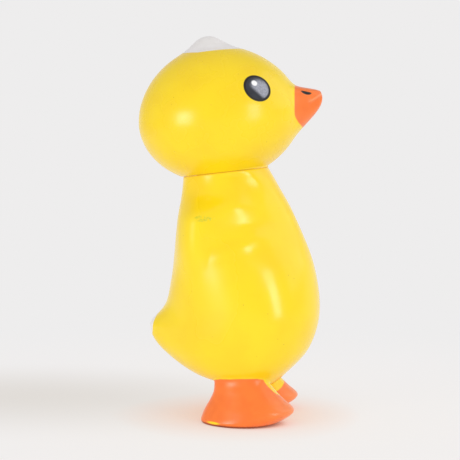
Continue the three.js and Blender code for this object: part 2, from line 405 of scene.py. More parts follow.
# Solvent paint dries a little duller than the vinyl. A paler orange is painted light at the toes, and a
# painted highlight along the lips, where the paint is also worn.
ORANGE_PAINT = Paint("#FF7F2F", "#FA792B", 0.3)
LIT_AND_WORN_ORANGE = Paint("#FFA066", "#FF985C", 0.36)
WHITE_PAINT = Paint("#F5F1F0", "#EFEBE9", 0.5)
BLACK_PAINT = Paint("#120E0A", "#120E0A", 0.5, 0.18)
# The eye's grey is a painted reflection of a light on the glossy black.
EYE_REFLECTION_GREY = Paint("#A8AAB6", "#8A8D99", 0.22, 0.2, 0.7)
EYE_DARK = Paint("#34363E", "#282A31", 0.22, 0.2)
EYE_WHITE = Paint("#FFFFFF", "#FBFBFB", 0.3, 0.25)

# Wear: a greenish scuff. Painted shade, all without gloss: darker in the neck seam and under the soles.
SCUFF = Paint("#E6D522", "#D3C52A", 0.4, cloud=1.0)
SEAM_SHADE = Paint("#F2C41C", "#E8B81A", 0.8)
SOLE_SHADE = Paint("#943F14", "#86360F", 0.6)
SEAM_SHADE_EDGES = (0.2, 0.9)


class NodeMaterial:
    """A node material that starts empty, with the piece's own coordinates at hand."""

    def __init__(self, name: str) -> None:
        """Starts the material.

        Args:
            name: What it is made of.
        """
        self.material = bpy.data.materials.new(name)
        self.material.use_nodes = True
        self.tree = self.material.node_tree
        self.tree.nodes.clear()
        self.place = add_node(self.tree, "ShaderNodeTexCoord", {}).outputs["Object"]

    def mask(self, source: str | bpy.types.NodeSocket, start: float, end: float) -> bpy.types.NodeSocket:
        """A mask that runs softly from 0 where its source is at a start to 1 where it is at an end.

        Args:
            source: The name of a vertex field, or any other value.
            start: Where the mask is 0.
            end: Where the mask is 1.

        Returns:
            The mask.
        """
        if isinstance(source, str):
            source = add_node(self.tree, "ShaderNodeAttribute", {"attribute_name": source}).outputs["Fac"]
        ends = {"From_Min": start, "From_Max": end}
        step = add_node(self.tree, "ShaderNodeMapRange", SOFT_STEP, Value=source, **ends)
        return step.outputs["Result"]

    def closed(self, surface: bpy.types.Node) -> bpy.types.Material:
        """The finished material, with a shader for its surface."""
        add_node(self.tree, "ShaderNodeOutputMaterial", {}, Surface=surface.outputs[0])
        return self.material


class VinylMaterial(NodeMaterial):
    """The material of one moulding: dyed vinyl, with paint and wear laid over it mask by mask."""

    def __init__(self, vinyl: Vinyl) -> None:
        """Starts the material with the bare vinyl.

        Args:
            vinyl: The vinyl.
        """
        super().__init__(vinyl.name)
        self.vinyl = vinyl
        less, more = vinyl.wiped
        self.colour: Any = linear(vinyl.colour)
        self.roughness: Any = vinyl.roughness + less
        self.cover(self.patches(vinyl.mottle_size, vinyl.mottle_edges, MOTTLE_DETAIL), linear(vinyl.mottle))
        scale = 1 / (vinyl.speck_gap * MM)
        cells = add_node(self.tree, "ShaderNodeTexVoronoi", {}, Vector=self.place, Scale=scale)
        radius = vinyl.speck_radius / vinyl.speck_gap
        self.cover(self.mask(cells.outputs["Distance"], radius, radius / 3), linear(vinyl.speck))
        wiped = self.patches(vinyl.wiped_size, vinyl.wiped_edges)
        self.cover(wiped, roughness=vinyl.roughness + more)

    def patches(
        self, size: float, edges: tuple[float, float], detail: float = CLOUD_DETAIL
    ) -> bpy.types.NodeSocket:
        """A mask of soft patches: noise on the piece's own coordinates between two levels.

        Args:
            size: The size of a patch in millimetres.
            edges: The levels where a patch begins and is full.
            detail: How many finer layers the noise has.

        Returns:
            The mask.
        """
        scale = 1 / (size * MM)
        noise = add_node(self.tree, "ShaderNodeTexNoise", {}, Vector=self.place, Scale=scale, Detail=detail)
        return self.mask(noise.outputs[0], *edges)

    def cover(self, mask: bpy.types.NodeSocket, colour: Any = None, roughness: Any = None) -> None:
        """Lays a colour, a roughness or both over what is there, where a mask is 1.

        Args:
            mask: Where it is laid.
            colour: A linear colour or a socket that gives one.
            roughness: A roughness or a socket that gives one.
        """
        if colour is not None:
            tones = {"in_6": self.colour, "in_7": colour}
            self.colour = add_node(self.tree, "ShaderNodeMix", COLOUR_MIX, in_0=mask, **tones).outputs[2]
        if roughness is not None:
            levels = {"in_2": self.roughness, "in_3": roughness}
            self.roughness = add_node(self.tree, "ShaderNodeMix", NUMBER_MIX, in_0=mask, **levels).outputs[0]

    def coat(self, paint: Paint) -> bpy.types.NodeSocket:
        """A paint's colour with the faint cloudiness of its spray.

        Args:
            paint: The paint.

        Returns:
            The colour.
        """
        cloud = self.patches(paint.cloud, paint.cloud_edges)
        tones = {"in_6": linear(paint.colour), "in_7": linear(paint.shade)}
        return add_node(self.tree, "ShaderNodeMix", COLOUR_MIX, in_0=cloud, **tones).outputs[2]

    def lay(self, paint: Paint, mask: bpy.types.NodeSocket) -> None:
        """Lays a paint over what is there."""
        self.cover(mask, self.coat(paint), paint.roughness)

    def sprayed(self, paint: Paint, name: str) -> bpy.types.NodeSocket:
        """The mask of a paint whose edge lies where a vertex field is zero."""
        return self.mask(name, -paint.fade / 2, paint.fade / 2)

    def finish(self) -> bpy.types.Material:
        """Joins colour, roughness and the mould's grain to the surface.

        Returns:
            The material.
        """
        tree, vinyl = self.tree, self.vinyl
        scale = 1 / (vinyl.grain * MM)
        grain = add_node(tree, "ShaderNodeTexNoise", {}, Vector=self.place, Scale=scale, Detail=GRAIN_DETAIL)
        depth = vinyl.grain_depth * MM
        bump = add_node(tree, "ShaderNodeBump", {}, Height=grain.outputs[0], Strength=1.0, Distance=depth)
        surface = {"Base_Color": self.colour, "Roughness": self.roughness, "Normal": bump.outputs["Normal"]}
        return self.closed(add_node(tree, "ShaderNodeBsdfPrincipled", {}, IOR=vinyl.ior, **surface))


def set_on_body(piece: bpy.types.Object, material: bpy.types.Material, node: str) -> None:
    """Gives a moulding its material, and sets it on its body in place of its solid.

    Args:
        piece: The moulding.
        material: Its material.
        node: The body that it rides on, and the solid that it replaces.
    """
    piece.data.materials.clear()
    piece.data.materials.append(material)
    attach(piece, node)
    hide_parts(node)
    log.info("%s: %d faces on body %s", piece.name, len(piece.data.polygons), node)


@dataclass
class NeckJoint:
    """The round, tilted joint face between body and head, and the snap plug that holds the head on.

    The joint's own frame has its origin on the axis in the joint face, X forward and Z along the axis. A low
    bead on the body stands a little inside the edge and closes the running gap to sight.
    """

    seam: np.ndarray
    axis: np.ndarray
    radius: float = 20.2
    ledge: float = 6.7
    wall: float = 2.2
    clearance: float = 0.3
    lip_overhang: float = 2.0
    lip_thickness: float = 2.0
    edge_round: float = 0.12
    bead_inset: float = 0.22
    bead_slope: float = 0.05
    bead_share: float = 0.88

    @property
    def tilt(self) -> float:
        """The angle by which the joint face rises towards the front."""
        return math.atan2(-self.axis[0], self.axis[2])

    @property
    def plug_radius(self) -> float:
        """The plug stands in from the neck's edge by the ledge."""
        return self.radius - self.ledge

    @property
    def hole_radius(self) -> float:
        """The hole in the head's floor clears the plug."""
        return self.plug_radius + self.clearance

    @property
    def floor_top(self) -> float:
        """The rise of the upper face of the head's floor."""
        return self.clearance + self.wall

    @property
    def lip_base(self) -> float:
        """The rise of the lip's underside, which clears the head's floor."""
        return self.floor_top + self.clearance

    @property
    def lip_top(self) -> float:
        """The rise of the plug's upper end."""
        return self.lip_base + self.lip_thickness

    def placed(self, points: np.ndarray) -> np.ndarray:
        """Moves points from the joint's frame to the figure's: a turn by the tilt about Y, then to the seam.

        Args:
            points: Points in the joint's frame.

        Returns:
            The same points in the figure's frame.
        """
        lean, stand = math.sin(self.tilt), math.cos(self.tilt)
        x, y, z = np.moveaxis(points, -1, 0)
        return np.stack([x * stand - z * lean, y, x * lean + z * stand], axis=-1) + self.seam

    def unplaced(self, points: np.ndarray) -> np.ndarray:
        """Moves points from the figure's frame to the joint's, the reverse of placed.

        Args:
            points: Points in the figure's frame.

        Returns:
            The same points in the joint's frame.
        """
        lean, stand = math.sin(self.tilt), math.cos(self.tilt)
        x, y, z = np.moveaxis(points - self.seam, -1, 0)
        return np.stack([x * stand + z * lean, y, z * stand - x * lean], axis=-1)

    def rings(self, profile: list[tuple[float, float]], angles: np.ndarray) -> np.ndarray:
        """Circles about the axis, one for each point of a profile.

        Args:
            profile: Radii and rises.
            angles: Where each circle has its points.

        Returns:
            Points as circles by angles by three, in the joint's frame.
        """
        radii, rises = np.array(profile, float).T[:, :, None]
        x, y = radii * np.cos(angles), radii * np.sin(angles)
        return np.stack([x, y, np.broadcast_to(rises, x.shape)], axis=-1)

    def rounded_edge(
        self, radius: float, rise: float, upward: bool, steps: int = 5
    ) -> list[tuple[float, float]]:
        """A quarter round between a wall and a face: a turn's cosine in from the wall, its sine along it.

        Args:
            radius: The wall's radius.
            rise: The face's rise.
            upward: Whether the round runs from the wall up to the face, or from the face up to the wall.
            steps: How many points it has.

        Returns:
            Radii and rises.
        """
        turns = np.linspace(0, math.pi / 2, steps)
        sign = 1 if upward else -1
        points = [
            (radius - self.edge_round * (1 - math.cos(t)), rise - sign * self.edge_round * (1 - math.sin(t)))
            for t in turns
        ]
        return points if upward else points[::-1]


@dataclass(frozen=True)
class Swell:
    """A soft swelling of both flanks, or a hollow in them where it stands out by less than nothing.

    It is one bell along the flank and one up it, and it leans forward by a share of the way up.
    """

    forward: float
    height: float
    length: float
    rise: float
    lean: float
    out: float

    def at(self, x: np.ndarray, z: np.ndarray) -> np.ndarray:
        """How far the flank stands out at some places."""
        up = z - self.height
        return self.out * bell(x - self.forward - self.lean * up, self.length) * bell(up, self.rise)


@dataclass
class Torso:
    """The pear-shaped trunk with its stub wings and short pointed tail, all of one skin.

    Stations run from the keel up. Each is a height, the reach to the back and to the front, half of the width
    and the share by which it is wider ahead than behind.
    """

    neck: NeckJoint
    keel_height: float = 12.0
    keel_forward: float = 8.0
    crotch: tuple[float, ...] = (15.2, -1.5, 19.5, 16.5, 0.155)
    thigh: tuple[float, ...] = (21.0, 16.8, 27.2, 25.6, 0.15)
    rump: tuple[float, ...] = (33.0, 28.3, 37.8, 32.0, 0.1)
    belly: tuple[float, ...] = (50.0, 29.9, 42.6, 35.0, 0.14)
    waist: tuple[float, ...] = (71.0, 27.0, 39.8, 33.6, -0.07)
    breast: tuple[float, ...] = (93.0, 24.6, 30.6, 27.1, -0.26)
    collar: tuple[float, ...] = (107.0, 22.95, 22.95, 22.6, 0.01)
    tail_height: float = 42.5
    tail_reach: float = 8.3
    tail_spread: float = 9.0
    tail_above: float = 5.3
    tail_below: float = 10.5
    wing_height: float = 90.0
    wing_slope: float = 0.15
    wing_forward: float = -5.0
    wing_out: float = 30.2
    wing_flare: float = 0.2
    wing_sweep: float = 1.0
    wing_above: float = 8.5
    wing_below: float = 13.0
    wing_ahead: float = 13.0
    wing_behind: float = 11.5
    wing_power: float = 3.0
    nape: Swell = Swell(5.7, 113.8, 4.9, 6.3, -1.4, -1.1)
    shoulder: Swell = Swell(11.3, 105.2, 3.8, 4.3, -0.2, -1.7)
    wing_root: Swell = Swell(-7.1, 97.9, 7.5, 4.0, 1.5, 0.5)
    fold: Swell = Swell(7.0, 94.2, 8.8, 4.1, -0.9, -1.4)
    side: Swell = Swell(8.0, 77.0, 4.2, 5.7, 0.3, 0.5)
    flank: Swell = Swell(6.8, 82.2, 4.4, 4.2, 1.5, 1.1)
    swell_fade: float = 2.5

    def rings(self, count: int, columns: int, inset: float) -> np.ndarray:
        """Sections of the trunk from just above the keel to the neck seam.

        The stations are joined by a smooth curve. A section is an ellipse about the middle of its front and
        back reaches, drawn to an egg by its spread, and it tips towards the tilt of the seam from the belly
        up. The first station mirrors the crotch through the keel, so that the underside closes round.

        Args:
            count: How many sections.
            columns: How many points each has.
            inset: How far they lie inside the outer skin.

        Returns:
            Points as sections by columns by three.
        """
        seam, radius, tilt = self.neck.seam, self.neck.radius, self.neck.tilt
        height, back, front, half, spread = self.crotch
        stations = np.array(
            [
                (height, -front, -back, -half, spread),
                (self.keel_height, -self.keel_forward, self.keel_forward, 0.0, spread),
                self.crotch,
                self.thigh,
                self.rump,
                self.belly,
                self.waist,
                self.breast,
                self.collar,
                (seam[2], radius - seam[0], radius + seam[0], radius, 0.0),
            ]
        )
        places = np.linspace(1, len(stations) - 1, count + 1)[1:]
        height, back, front, half, spread = curve_through(stations, places).T
        lift = smoothstep(height, self.belly[0], seam[2])
        floor_lift = 1 - smoothstep(height, self.keel_height, self.belly[0])
        x = (front - back) / 2 + lift * inset * math.sin(tilt)
        z = height - lift * inset * math.cos(tilt) + floor_lift * inset
        reach, half = (front + back) / 2 - inset, half - inset
        kept = (reach > 0) & (half > 0)
        x, z, reach, half, spread, lift = (values[kept, None] for values in (x, z, reach, half, spread, lift))
        angles = angles_round(columns)
        along = reach * np.cos(angles)
        across = half * np.sin(angles) * (1 + spread * np.cos(angles))
        return np.stack([x + along * np.cos(lift * tilt), across, z + along * np.sin(lift * tilt)], axis=-1)

    def drawn_out(self, points: np.ndarray) -> np.ndarray:
        """The trunk's skin with its tail and wings drawn out of it.

        The tail is a bell across and a steeper bell above its tip than below it, drawn backwards. A wing is a
        flat pad along a sloping line, with its own reach behind, ahead, above and below. It stands out more
        to the rear and is swept back.

        Args:
            points: Points of the plain trunk.

        Returns:
            The moved points.
        """
        x, y, z = np.moveaxis(points, -1, 0)
        tail = lopsided_bell(z - self.tail_height, self.tail_below, self.tail_above)
        tail = tail * bell(y, self.tail_spread)
        ahead = x - self.wing_forward
        line = self.wing_height + self.wing_slope * np.clip(ahead, 0, None)
        wing = lopsided_bell(ahead, self.wing_behind, self.wing_ahead, self.wing_power)
        wing = wing * lopsided_bell(z - line, self.wing_below, self.wing_above, self.wing_power)
        drawn = points.copy()
        drawn[..., 0] -= wing * self.wing_sweep + np.where(x < 0, tail * self.tail_reach, 0)
        face = np.sign(y) * (self.wing_out - self.wing_flare * x)
        drawn[..., 1] += wing * np.where(np.abs(face) > np.abs(y), face - y, 0) + self.swell(points)
        return drawn

    def swell(self, points: np.ndarray) -> np.ndarray:
        """How far the soft swells move points sideways, less towards the seam and the middle.

        Args:
            points: Points of the plain trunk.

        Returns:
            One distance along Y for each point.
        """
        x, y, z = np.moveaxis(points, -1, 0)
        swells = (self.nape, self.shoulder, self.wing_root, self.fold, self.side, self.flank)
        out = sum(swell.at(x, z) for swell in swells)
        fade = smoothstep(-self.neck.unplaced(points)[..., 2], 0, self.swell_fade)
        return out * fade * np.clip(y / (2 * self.swell_fade), -1, 1)


@dataclass
class Foot:
    """One flat, shoe-like foot, wide at the toe, with a short leg that runs up into the trunk.

    Sections run from the sole up. Each is a height, the reach to the heel and to the toe, half of the width
    and the lean inwards.
    """

    side: Side
    forward: float = 8.8
    sideways: float = 18.5
    toe_out_deg: float = 5.0
    toe_spread: float = 0.12
    sole: tuple[float, ...] = (0.0, 19.7, 9.5, 12.2, 0.0)
    edge: tuple[float, ...] = (1.6, 20.6, 16.4, 14.8, 0.0)
    toe: tuple[float, ...] = (6.2, 18.9, 22.7, 14.2, 0.0)
    instep: tuple[float, ...] = (11.0, 16.2, 18.2, 12.0, 0.0)
    ankle: tuple[float, ...] = (15.0, 14.6, 14.2, 10.1, 0.0)
    cuff: tuple[float, ...] = (20.0, 14.3, 10.7, 8.1, 0.0)
    shank: tuple[float, ...] = (27.0, 13.4, 8.6, 9.0, 0.4)
    cap_rings: int = 7

    def skin(self, name: str, count: int, columns: int, inset: float) -> bpy.types.Object:
        """A closed foot: an oval carried up a smooth curve through the sections, wider ahead than behind.

        Args:
            name: The object's name.
            count: How many rings run up it.
            columns: How many points each has.
            inset: How far it lies inside the outer skin, which also lifts its sole and toe.

        Returns:
            The closed skin.
        """
        lifted = [(z + inset, *rest) for z, *rest in (self.sole, self.edge, self.toe)]
        stations = np.array([*lifted, self.instep, self.ankle, self.cuff, self.shank])
        rows = curve_through(stations, np.linspace(0, len(stations) - 1, count))
        z, heel, toe, half, inward = (values[:, None] for values in rows.T)
        sign = self.side.value
        turns = sign * angles_round(columns)[::sign]
        along = (toe - heel) / 2 + ((toe + heel) / 2 - inset) * np.cos(turns)
        across = (half - inset) * np.sin(turns) * (1 + self.toe_spread * np.cos(turns))
        swing = math.radians(self.toe_out_deg)
        x = self.forward + along * math.cos(swing) - sign * across * math.sin(swing)
        y = sign * (self.sideways - inward + along * math.sin(swing)) + across * math.cos(swing)
        rings = np.stack([x, y, np.broadcast_to(z, x.shape)], axis=-1)
        middles = rings[[0, -1]].mean(1, keepdims=True)
        shares = np.linspace(0, 1, self.cap_rings + 2)[1:-1, None, None]
        under = middles[0] + shares * (rings[0] - middles[0])
        over = middles[1] + shares[::-1] * (rings[-1] - middles[1])
        return closed_skin(name, np.concatenate([under, rings, over]), middles[0], middles[1])


@dataclass
class BodyMoulding:
    """The hollow body: trunk, wings, tail, feet and neck plug in one casting, with sprayed feet and tail tip.

    Places and reaches of wear are forward and height. Pairs of edges are where a mask begins and is full.
    """

    neck: NeckJoint
    torso: Torso
    feet: tuple[Foot, Foot]
    rings: int = 170
    columns: int = 240
    core_rings: int = 60
    core_columns: int = 72
    foot_rings: int = 56
    foot_columns: int = 120
    fillet_reach: float = 3.0
    fillet_share: float = 0.6
    fillet_rounds: int = 14
    spray_share: float = 0.5
    spray_rounds: int = 8
    gap_front: float = 24.6
    gap_low: float = 8.6
    gap_slope: float = 2.4
    gap_half: float = 19.4
    gap_wrap: float = 0.25
    gap_level: float = 22.8
    gap_round: float = 3.0
    tail_patch_height: float = 43.0
    tail_patch_half: float = 5.6
    tail_patch_rise: float = 5.2
    toe_light_start: float = 16.0
    toe_light_end: float = 32.0
    toe_light_edges: tuple[float, float] = (0.0, 2.0)
    rub_place: tuple[float, float] = (-4.0, 62.0)
    rub_reach: tuple[float, float] = (9.0, 20.0)
    rub_edges: tuple[float, float] = (0.1, 0.9)
    rub_roughness: float = 0.34
    rim_place: tuple[float, float] = (-17.0, 90.0)
    rim_reach: tuple[float, float] = (3.5, 12.0)
    rim_edges: tuple[float, float] = (0.0, 0.7)
    rim_roughness: float = 0.46
    scuff_place: tuple[float, float] = (-8.5, 95.0)
    scuff_reach: tuple[float, float] = (4.5, 1.6)
    scuff_grain: float = 1.6
    scuff_edges: tuple[float, float] = (0.3, 0.46)
    sole_wear_place: tuple[float, float] = (-5.0, 1.6)
    sole_wear_reach: tuple[float, float] = (2.7, 0.5)
    sole_wear_edges: tuple[float, float] = (0.3, 0.8)
    sole_shade_rise: float = 2.0
    sole_shade_edges: tuple[float, float] = (0.1, 0.9)

    def build(self) -> bpy.types.Object:
        """The outer skin with its feet joined on and their creases softened, and the hollow cut out of it.

        Returns:
            The body, with its paint and wear kept as fields.
        """
        body = self.outer_skin()
        slots = [bpy.data.materials.new(region.name) for region in Region]
        for slot in slots:
            body.data.materials.append(slot)
        for foot in self.feet:
            skin = foot.skin(f"foot_{foot.side.name.lower()}", self.foot_rings, self.foot_columns, 0.0)
            for slot in slots:
                skin.data.materials.append(slot)
            on_foot = np.full(len(skin.data.polygons), Region.FEET.value, np.int32)
            skin.data.polygons.foreach_set("material_index", on_foot)
            join(body, skin, Joining.UNION)
        crease = self.soften_creases(body.data)
        core = self.core_skin()
        for foot in self.feet:
            hollow = foot.skin("foot_core", self.foot_rings // 2, self.core_columns, self.neck.wall)
            join(core, hollow, Joining.UNION)
        join(body, core, Joining.CUT)
        self.write_paint(body.data, crease)
        self.write_wear_and_painted_light(body.data)
        finish_shading(body.data)
        return body

    def outer_skin(self) -> bpy.types.Object:
        """The trunk from the keel to the seam, the bead, then plug and lip, closed on top.

        Returns:
            The closed skin.
        """
        neck = self.neck
        trunk = self.torso.drawn_out(self.torso.rings(self.rings, self.columns, 0.0))
        trunk = trunk[neck.unplaced(trunk)[..., 2].max(1) < -neck.edge_round]
        bead_radius = neck.radius - neck.bead_inset
        bead = neck.bead_share * neck.clearance
        lip_radius = neck.hole_radius + neck.lip_overhang
        profile = [
            *neck.rounded_edge(neck.radius, 0.0, upward=True),
            (bead_radius, 0.0),
            (bead_radius - neck.bead_slope, bead),
            (neck.plug_radius, bead),
            (neck.plug_radius, neck.lip_base),
            (lip_radius, neck.lip_base),
            (lip_radius, neck.lip_top),
            (neck.plug_radius, neck.lip_top),
        ]
        collar = neck.placed(neck.rings(profile, angles_round(self.columns)))
        keel = np.array([self.torso.keel_forward, 0.0, self.torso.keel_height])
        return closed_skin("body_moulding", np.concatenate([trunk, collar]), keel, collar[-1].mean(0))

    def core_skin(self) -> bpy.types.Object:
        """The hollow: the trunk's sections inset by the wall, and the bore of the plug, run out past its end.

        Returns:
            The closed skin that is cut away.
        """
        neck = self.neck
        core = self.torso.rings(self.core_rings, self.core_columns, neck.wall)
        core[..., 1] += self.torso.swell(core)
        bore_radius = neck.plug_radius - neck.wall
        profile = [(bore_radius, -neck.wall), (bore_radius, neck.lip_top + neck.wall)]
        bore = neck.placed(neck.rings(profile, angles_round(self.core_columns)))
        return closed_skin("body_core", np.concatenate([core, bore]), core[0].mean(0), bore[-1].mean(0))

    def soften_creases(self, mesh: bpy.types.Mesh) -> np.ndarray:
        """Rounds the creases where the feet run into the trunk.

        Args:
            mesh: The joined outer skin, with its regions in material slots.

        Returns:
            The points of the softened creases.
        """
        points = points_of(mesh)
        crease = touched_by(mesh, Region.TRUNK) & touched_by(mesh, Region.FEET)
        away = distance_to(points, points[crease])
        share = self.fillet_share * np.clip(1 - away / self.fillet_reach, 0, 1)
        points = relaxed(points, edges_of(mesh), share, self.fillet_rounds)
        write_points(mesh, points)
        return points[crease]

    def bare_gap(self, points: np.ndarray) -> np.ndarray:
        """How far points lie inside the gap between the legs that the spray did not reach, in millimetres.

        The gap ends at three sloping planes, ahead, aside and below. Their meeting is rounded: minus the
        logarithm of the sum of e to the minus each depth, in units of the rounding.

        Args:
            points: Points of the body.

        Returns:
            One depth for each point, less than nothing outside the gap.
        """
        x, y, z = points.T
        ahead = self.gap_front + (z - self.gap_low) / self.gap_slope - x
        aside = self.gap_half + self.gap_wrap * (x + z - self.gap_level) - np.abs(y)
        depths = np.array([ahead, aside, z - self.gap_low])
        return -self.gap_round * np.logaddexp.reduce(-depths / self.gap_round, axis=0)

    def write_paint(self, mesh: bpy.types.Mesh, crease: np.ndarray) -> None:
        """Keeps how far each point lies inside the feet's orange and the tail's white, in millimetres.

        The orange ends at the creases, apart from the gap between the legs, and its edge is smoothed along
        the skin.

        Args:
            mesh: The finished body, with its regions in material slots, which are given up.
            crease: Points of the creases between feet and trunk.
        """
        points = points_of(mesh)
        away = distance_to(points, crease)
        orange = np.where(touched_by(mesh, Region.FEET), away, -away)[:, None]
        share = np.full(len(points), self.spray_share)
        orange = relaxed(orange, edges_of(mesh), share, self.spray_rounds)[:, 0]
        write_field(mesh, "foot_paint", np.minimum(orange, -self.bare_gap(points)))
        x, y, z = points.T
        oval = np.hypot(y / self.tail_patch_half, (z - self.tail_patch_height) / self.tail_patch_rise)
        white = np.where(x < 0, (1 - oval) * self.tail_patch_rise, -self.tail_patch_half)
        write_field(mesh, "tail_paint", white)
        mesh.polygons.foreach_set("material_index", np.zeros(len(mesh.polygons), np.int32))

    def write_wear_and_painted_light(self, mesh: bpy.types.Mesh) -> None:
        """Keeps how far each point is worn or painted with light or shade, from 0 to 1.

        Handling rubs both sides and knocks wear one wing and sole. Painted shade darkens the neck seam and
        the bottoms of the soles, and painted light makes the toes paler.

        Args:
            mesh: The finished body.
        """
        points = points_of(mesh)
        x, y, z = points.T
        rise = self.neck.unplaced(points)[:, 2]
        # Painted shade: the neck seam is painted darker.
        write_field(mesh, "seam_shade", smoothstep(rise, -self.neck.edge_round, 0))
        # Painted shade: a dark band at the bottom of the soles, where they meet the floor.
        write_field(mesh, "sole_shade", 1 - smoothstep(z, 0, self.sole_shade_rise))
        write_field(mesh, "toe_light", smoothstep(x, self.toe_light_start, self.toe_light_end))
        places = {
            "flank_rub": (self.rub_place, self.rub_reach, y != 0),
            "rim_rub": (self.rim_place, self.rim_reach, y != 0),
            "wing_scuff": (self.scuff_place, self.scuff_reach, y < 0),
            "sole_wear": (self.sole_wear_place, self.sole_wear_reach, y < 0),
        }
        for name, (place, reach, where) in places.items():
            worn = bell(x - place[0], reach[0]) * bell(z - place[1], reach[1])
            write_field(mesh, name, np.where(where, worn, 0))

    def dress(self, body: bpy.types.Object) -> None:
        """Dresses the body in gloss yellow vinyl and sets it on its body."""
        set_on_body(body, self.material(), "body")

    def material(self) -> bpy.types.Material:
        """Gloss yellow vinyl, dull where rubbed, with a white tail tip and orange feet.

        Painted light makes the toes paler, and painted shade darkens the bottoms of the soles and the neck
        seam.

        Returns:
            The material.
        """
        vinyl = VinylMaterial(BODY_VINYL)
        vinyl.cover(vinyl.mask("flank_rub", *self.rub_edges), roughness=self.rub_roughness)
        vinyl.cover(vinyl.mask("rim_rub", *self.rim_edges), roughness=self.rim_roughness)
        vinyl.lay(WHITE_PAINT, vinyl.sprayed(WHITE_PAINT, "tail_paint"))
        bare = (vinyl.colour, vinyl.roughness)
        # Painted light: the toes are painted a paler orange, as where more light falls on them.
        pale_toes = vinyl.mask("toe_light", *self.toe_light_edges)
        tones = {"in_6": vinyl.coat(ORANGE_PAINT), "in_7": linear(LIT_AND_WORN_ORANGE.colour)}
        orange = add_node(vinyl.tree, "ShaderNodeMix", COLOUR_MIX, in_0=pale_toes, **tones).outputs[2]
        vinyl.cover(vinyl.sprayed(ORANGE_PAINT, "foot_paint"), orange, ORANGE_PAINT.roughness)
        # Painted shade: a dark band at the bottom of the soles, where they meet the floor.
        vinyl.lay(SOLE_SHADE, vinyl.mask("sole_shade", *self.sole_shade_edges))
        vinyl.cover(vinyl.mask("sole_wear", *self.sole_wear_edges), *bare)
        self.lay_scuff(vinyl)
        # Painted shade: the neck seam is painted darker.
        vinyl.lay(SEAM_SHADE, vinyl.mask("seam_shade", *SEAM_SHADE_EDGES))
        return vinyl.finish()

    def lay_scuff(self, vinyl: VinylMaterial) -> None:
        """Lays the scuff on the wing, broken into small marks by noise.

        Args:
            vinyl: The material that is scuffed.
        """
        tree = vinyl.tree
        scale = 1 / (self.scuff_grain * MM)
        worn = add_node(tree, "ShaderNodeAttribute", {"attribute_name": "wing_scuff"}).outputs["Fac"]
        noise = add_node(tree, "ShaderNodeTexNoise", {}, Vector=vinyl.place, Scale=scale, Detail=CLOUD_DETAIL)
        marks = add_node(tree, "ShaderNodeMath", {"operation": "MULTIPLY"}, in_0=worn, in_1=noise.outputs[0])
        vinyl.lay(SCUFF, vinyl.mask(marks.outputs[0], *self.scuff_edges))


@dataclass(frozen=True)
class PaintedEye:
    """A painted eye: a black ring, a dark disc whose grey upper part is a painted reflection of a light, and
    a white dot.

    Places are millimetres from the eye's middle, level towards the beak and raised. Pairs are where an edge
    begins and is full.
    """

    ring: tuple[float, float] = (6.85, 6.55)
    disc: tuple[float, float] = (5.75, 5.35)
    slant_deg: float = 40.0
    slant: tuple[float, float] = (3.0, 1.0)
    reflection_place: tuple[float, float, float] = (1.5, -0.8, 0.0)
    grey: tuple[float, float] = (6.4, 3.0)
    dot_place: tuple[float, float, float] = (-0.9, 2.4, 0.0)
    dot: tuple[float, float] = (1.75, 1.0)

    def lay(self, vinyl: VinylMaterial) -> None:
        """Paints the eyes. The grey, a painted reflection, is a soft round that ends at a slanting line and
        at the disc's edge.

        Args:
            vinyl: The material that is painted.
        """
        tree = vinyl.tree
        level, raised = (
            add_node(tree, "ShaderNodeAttribute", {"attribute_name": name}).outputs["Fac"]
            for name in ("eye_level", "eye_raised")
        )
        place = add_node(tree, "ShaderNodeCombineXYZ", {}, X=level, Y=raised).outputs[0]
        slope = math.radians(self.slant_deg)
        downward = (-math.cos(slope), -math.sin(slope), 0.0)
        down = add_node(tree, "ShaderNodeVectorMath", {"operation": "DOT_PRODUCT"}, in_0=place, in_1=downward)
        apart = {"operation": "DISTANCE"}
        from_reflection, from_dot = (
            add_node(tree, "ShaderNodeVectorMath", apart, in_0=place, in_1=middle).outputs["Value"]
            for middle in (self.reflection_place, self.dot_place)
        )
        disc = vinyl.mask("eye_away", *self.disc)
        lit = disc
        for edge in (vinyl.mask(down.outputs["Value"], *self.slant), vinyl.mask(from_reflection, *self.grey)):
            lit = add_node(tree, "ShaderNodeMath", {"operation": "MULTIPLY"}, in_0=lit, in_1=edge).outputs[0]
        vinyl.lay(BLACK_PAINT, vinyl.mask("eye_away", *self.ring))
        vinyl.lay(EYE_DARK, disc)
        # Painted reflection: the grey upper part of the eye.
        vinyl.lay(EYE_REFLECTION_GREY, lit)
        vinyl.lay(EYE_WHITE, vinyl.mask(from_dot, *self.dot))


